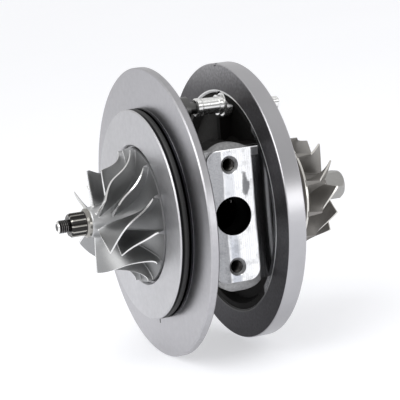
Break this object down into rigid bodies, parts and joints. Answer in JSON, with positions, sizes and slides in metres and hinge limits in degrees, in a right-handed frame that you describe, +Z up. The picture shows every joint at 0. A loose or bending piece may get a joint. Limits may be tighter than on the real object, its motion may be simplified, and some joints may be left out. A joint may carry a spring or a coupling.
{
  "type": "turbocharger cartridge",
  "caption": "Turbocharger cartridge with a machined backplate, bladed compressor and turbine wheels, a cast bearing housing with an oil drain pad, and a crank for the guide vanes.",
  "frame": {"origin": "on the rotor axis, in the seating face of the backplate's rim", "axes": "+X along the rotor axis to the turbine, +Z up, with the oil drain pad facing -Y"},
  "size_m": [0.1291, 0.12, 0.12],
  "materials": {
    "cast_housing": "dark as cast, with machined faces",
    "backplate_aluminium": "fine turned satin",
    "wheel_aluminium": "matte cast, with bright machined edges",
    "turbine_alloy": "matte cast nickel alloy",
    "shaft_steel": "ground",
    "nut_steel": "oiled dark",
    "polished_steel": "polished",
    "crank_steel": "machined",
    "screw_steel": "zinc grey",
    "sheet_steel": "pressed sheet",
    "spring_steel": "dark spring steel",
    "seal_iron": "ground",
    "bearing_bronze": "satin",
    "ring_rubber": "matte black"
  },
  "bodies": {
    "housing": {"bearing_housing": "cast_housing", "compressor_backplate": "backplate_aluminium", "backplate_o_ring": "ring_rubber", "housing_o_ring": "ring_rubber", "backplate_screws": "screw_steel", "oil_deflector": "sheet_steel", "thrust_bearing": "bearing_bronze", "thrust_bearing_pins": "screw_steel", "bearing_retaining_rings": "spring_steel", "compressor_seal_ring": "seal_iron", "turbine_seal_ring": "seal_iron", "heat_shield": "sheet_steel", "crank_bush": "polished_steel", "locating_pin": "polished_steel"},
    "rotor": {"rotor_shaft": "shaft_steel", "turbine_wheel": "turbine_alloy", "compressor_wheel": "wheel_aluminium", "compressor_nut": "nut_steel", "oil_flinger": "shaft_steel", "thrust_collar": "shaft_steel"},
    "compressor_bearing": {"journal_bearing_compressor": "bearing_bronze"},
    "turbine_bearing": {"journal_bearing_turbine": "bearing_bronze"},
    "crank": {"crank_shaft": "crank_steel", "crank_lever": "crank_steel", "lever_pin": "crank_steel"}
  },
  "joints": [
    {"name": "rotor_spin", "type": "hinge", "parent": "housing", "child": "rotor", "pos_m": [0, 0, 0], "axis": [1, 0, 0], "continuous": true},
    {"name": "compressor_bearing_float", "type": "hinge", "parent": "housing", "child": "compressor_bearing", "pos_m": [0.017, 0, 0], "axis": [1, 0, 0], "continuous": true},
    {"name": "turbine_bearing_float", "type": "hinge", "parent": "housing", "child": "turbine_bearing", "pos_m": [0.0405, 0, 0], "axis": [1, 0, 0], "continuous": true},
    {"name": "crank_turn", "type": "hinge", "parent": "housing", "child": "crank", "pos_m": [0.03, -0.002, 0.041], "axis": [1, 0, 0], "range_deg": [-20, 20]}
  ]
}
